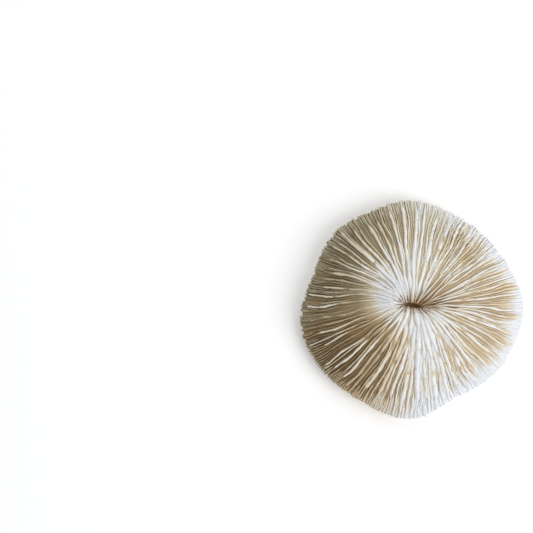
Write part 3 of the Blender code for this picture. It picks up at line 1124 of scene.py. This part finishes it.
def spine_object(name):
    dice = random.Random(SEPTA_SEED + SPINE_SEED)
    rows = [spine_points(s, dice) for s in SEPTA if s.cycle < SPINE_CYCLES]
    points, ways, lengths = (np.concatenate(values) for values in zip(*rows))
    points[:, :2] -= MIDDLE
    points[:, 2] = np.maximum(points[:, 2], lengths + FLOOR_GAP)
    mesh = bpy.data.meshes.new(name)
    mesh.from_pydata(points * MM, [], [])
    store_values(mesh, "outward", ways)
    store_values(mesh, "size", lengths)
    print("spines:", len(points), "lengths, mm:", lengths.min().round(2), "to", lengths.max().round(2))
    return new_object(name, mesh)


# %% The spine tree
SPINE_SIDES = 6
SPINE_TIP = 0.25
SPINE_FOOT_DEPTH = 1.1
SPINE_TIP_PALER = 0.6


def spines_tree():
    tree, given, result = new_tree("coral_spines", ("Radius",))
    cone = add_node(tree, "GeometryNodeMeshCone", Vertices=SPINE_SIDES,
                    Radius_Top=SPINE_TIP, Radius_Bottom=1.0, Depth=1.0)
    cone = add_node(tree, "GeometryNodeSetShadeSmooth", Geometry=cone)
    tall = coordinate(tree, add_node(tree, "GeometryNodeInputPosition"), "Z")
    cone = store(tree, cone, "depth", tall * -SPINE_TIP_PALER + SPINE_FOOT_DEPTH)
    outward = stored(tree, "outward", "FLOAT_VECTOR")
    turned = add_node(tree, "FunctionNodeAlignRotationToVector", Vector=outward)
    scale = add_node(tree, "ShaderNodeCombineXYZ", X=given["Radius"], Y=given["Radius"],
                     Z=stored(tree, "size") * MM)
    spines = add_node(tree, "GeometryNodeInstanceOnPoints", Points=given["Geometry"], Instance=cone,
                      Rotation=turned, Scale=scale)
    return hand_out(tree, given, result, spines)


SPINE_SETTINGS = {"Radius": SPINE_RADIUS * MM, "Material": SKELETON}
grow(spine_object("spine_points"), spines_tree(), "costae_spines", SPINE_SETTINGS)

# %% [markdown]
# ## The body between the plates
# The plates stand on a solid body. Its top is the floor of the gaps, its side is rounded, and its
# underside is nearly flat, with the scar in the middle. A ball could be pushed into shape for it,
# but a closed skin in rings, with every point from the same rule, fits the plates exactly.

# %% Rings of the body
BODY_COLUMNS = 480
CROWN_RINGS = 44
THROAT_RINGS = 6
SIDE_RINGS = 14
BASE_RINGS = 8
BASE_CLEARANCE = 0.9
BODY_NOTCHES = (0.7, 0.8, 1.0, 1.2, 1.3, 1.3, 1.3, 1.2, 0.9, 0.7, 0.6, 0.6)
SIDE_DEPTH = 2.4
SIDE_DEPTH_POWER = 0.7
SCAR_DEPTH = 0.3
SCAR_MIDDLE_DEPTH = 1.0
SCAR_PROFILE = (
    (8.6, 0.85), (7.6, 0.55), (6.9, 0.25), (6.3, 0.4), (5.7, 1.0), (4.8, 1.25), (2.6, 1.35),
)
SLIT_FLOOR = 0.3
THROAT_DROP = 3.8
THROAT_TOP_DEPTH = 3.0


def crown_rings(angles):
    """From the slit to the rim, as (places, depths)."""
    for share in (1.0 - np.cos(np.linspace(0.0, math.pi, CROWN_RINGS))) / 2.0:
        shares = np.full_like(angles, share)
        place = septum_plan(angles, shares, around(BODY_NOTCHES, angles))
        gap = gap_depth(angles, shares, place)
        high = crest_height(angles, shares, place, LIP_RELIEF) - gap
        depth = gap + stain(angles, shares, place) + fossa_brown(angles, place)
        yield np.column_stack((place, high)), depth


def throat_rings(angles, lip):
    """From deep in the slit up to its edge, darkest at the bottom: brown with painted shade."""
    for step in range(THROAT_RINGS, 0, -1):
        down = step / THROAT_RINGS
        place = mouth_edge(angles, 1.0 - (1.0 - SLIT_FLOOR) * down)
        high = lip[:, 2] - THROAT_DROP * down
        depth = blend(THROAT_TOP_DEPTH, DEEPEST, down)
        yield np.column_stack((place, high)), np.full_like(angles, depth)


def under_rings(angles, lip, lip_depth):
    """Down the rounded side and in to the scar."""
    rim = outline_radius(angles)
    notch = around(BODY_NOTCHES, angles)
    for turn in np.linspace(0.0, 1.0, SIDE_RINGS + 1)[1:]:
        out, high = side_profile(turn)
        place = direction(angles) * (out * rim - notch)[:, None]
        high = np.maximum(lip[:, 2] * high / RIM_HEIGHT, BASE_CLEARANCE)
        turned = turn**SIDE_DEPTH_POWER
        yield np.column_stack((place, high)), lip_depth * (1.0 - turned) + SIDE_DEPTH * turned
    edge = BASE_SHARE * rim - notch
    same = np.ones_like(angles)
    for inward in np.linspace(0.0, 1.0, BASE_RINGS + 1)[1:-1]:
        place = direction(angles) * blend(edge, SCAR_PROFILE[0][0], inward)[:, None]
        yield np.column_stack((place, BASE_CLEARANCE * same)), SIDE_DEPTH * same
    for radius, high in SCAR_PROFILE:
        yield np.column_stack((direction(angles) * radius, high * same)), (SCAR_DEPTH + high) * same


# %% The skin of the body
def ring_faces(rings, columns):
    """Four-sided faces between each ring of points and the next."""
    here = np.arange(columns)
    after = (here + 1) % columns
    quads = np.column_stack((here, columns + here, columns + after, after))
    return [face for ring in range(rings - 1) for face in (quads + ring * columns).tolist()]


def body_mesh():
    angles = np.arange(BODY_COLUMNS) / BODY_COLUMNS * math.tau
    crown = list(crown_rings(angles))
    rings = [*throat_rings(angles, crown[0][0]), *crown, *under_rings(angles, *crown[-1])]
    first, last = rings[0][0].mean(0), np.array((0.0, 0.0, SCAR_PROFILE[-1][1]))
    points = np.concatenate([*(ring for ring, _ in rings), [first], [last]])
    points[:, :2] -= MIDDLE
    depths = np.concatenate([*(depth for _, depth in rings), [DEEPEST, SCAR_MIDDLE_DEPTH]])
    here = np.arange(BODY_COLUMNS)
    after = (here + 1) % BODY_COLUMNS
    faces = ring_faces(len(rings), BODY_COLUMNS)
    foot = (len(rings) - 1) * BODY_COLUMNS
    faces += np.column_stack((here, after, np.full(BODY_COLUMNS, len(points) - 2))).tolist()
    faces += np.column_stack((foot + after, foot + here, np.full(BODY_COLUMNS, len(points) - 1))).tolist()
    mesh = bpy.data.meshes.new("coral_body")
    mesh.from_pydata(points * MM, [], faces)
    store_values(mesh, "depth", depths)
    mesh.materials.append(SKELETON)
    mesh.shade_smooth()
    return mesh


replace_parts(finished("coral_body", body_mesh()), "coral")

# %% [markdown]
# ## The room
# A plain pale floor, a large soft light from the lower right and a weak one from the top, which
# put the shade where the photograph has it. The camera looks straight down. It could be shifted
# or turned to frame the coral, but it stands over the photograph's middle, so that the coral
# comes out at its own place, scale and slant of view.

# %% Floor
PAPER = {
    "Base Color": (0.90, 0.90, 0.90, 1.0), "Roughness": 0.9,
    "Emission Color": (1.0, 1.0, 1.0, 1.0), "Emission Strength": 0.2,
}
FLOOR_RADII = (2.0, 2.4, 2.8, 3.2, 3.6, 4.0, 4.3, 4.5)
FLOOR_HEIGHTS = (0.0, 0.03, 0.12, 0.29, 0.55, 0.95, 1.40, 1.90)
FLOOR_COLUMNS = 96


def floor():
    """Flat round the coral, and rising far away like a paper sweep."""
    turn = np.arange(FLOOR_COLUMNS) / FLOOR_COLUMNS * math.tau
    rings = [
        np.column_stack((direction(turn) * radius, np.full_like(turn, high)))
        for radius, high in zip(FLOOR_RADII, FLOOR_HEIGHTS)
    ]
    faces = [list(range(FLOOR_COLUMNS)), *ring_faces(len(rings), FLOOR_COLUMNS)]
    mesh = bpy.data.meshes.new("floor")
    mesh.from_pydata(np.concatenate(rings), [], faces)
    mesh.shade_smooth()
    plane = new_object("floor", mesh)
    mesh.materials.append(new_material("floor_paper", PAPER)[0])


floor()


# %% Light
LIGHT_SIZE = 1.2
SKY_COLOUR = (0.96, 0.98, 1.0, 1.0)
SKY_STRENGTH = 0.36


def area_light(name, place, power, colour=(1.0, 1.0, 1.0)):
    light = bpy.data.lights.new(name, "AREA")
    light.shape = "DISK"
    light.size = LIGHT_SIZE
    light.energy = power
    light.color = colour
    holder = new_object(name, light)
    holder.location = place
    holder.rotation_euler = (-Vector(place)).to_track_quat("-Z", "Y").to_euler()


area_light("key", (0.82, -0.44, 1.15), 13.0)
area_light("fill", (0.0, 0.95, 1.1), 5.5, (0.97, 0.98, 1.0))
world = bpy.data.worlds.new("studio")
world.use_nodes = True
sky = world.node_tree.nodes["Background"].inputs
sky["Color"].default_value = SKY_COLOUR
sky["Strength"].default_value = SKY_STRENGTH
bpy.context.scene.world = world
bpy.context.scene.view_settings.view_transform = "Standard"

# %% Camera
PHOTO_PIXELS = 533
OUTLINE_CENTRE_PX = (412.0, 309.5)
OUTLINE_WIDTH_PX = 225.2
PIXEL = (CAD_HIGH.x - CAD_LOW.x) / OUTLINE_WIDTH_PX
LENS_MM = 200.0
SENSOR_MM = 36.0


def camera():
    data = bpy.data.cameras.new("camera")
    data.lens = LENS_MM
    data.sensor_width = SENSOR_MM
    holder = new_object("camera", data)
    right = (PHOTO_PIXELS / 2.0 - OUTLINE_CENTRE_PX[0]) * PIXEL
    up = (OUTLINE_CENTRE_PX[1] - PHOTO_PIXELS / 2.0) * PIXEL
    distance = PHOTO_PIXELS * PIXEL * LENS_MM / SENSOR_MM
    holder.location = (right, up, RIM_HEIGHT * MM + distance)
    data.clip_end = 10.0
    bpy.context.scene.camera = holder
    print("camera, m:", [round(v, 3) for v in holder.location])


camera()
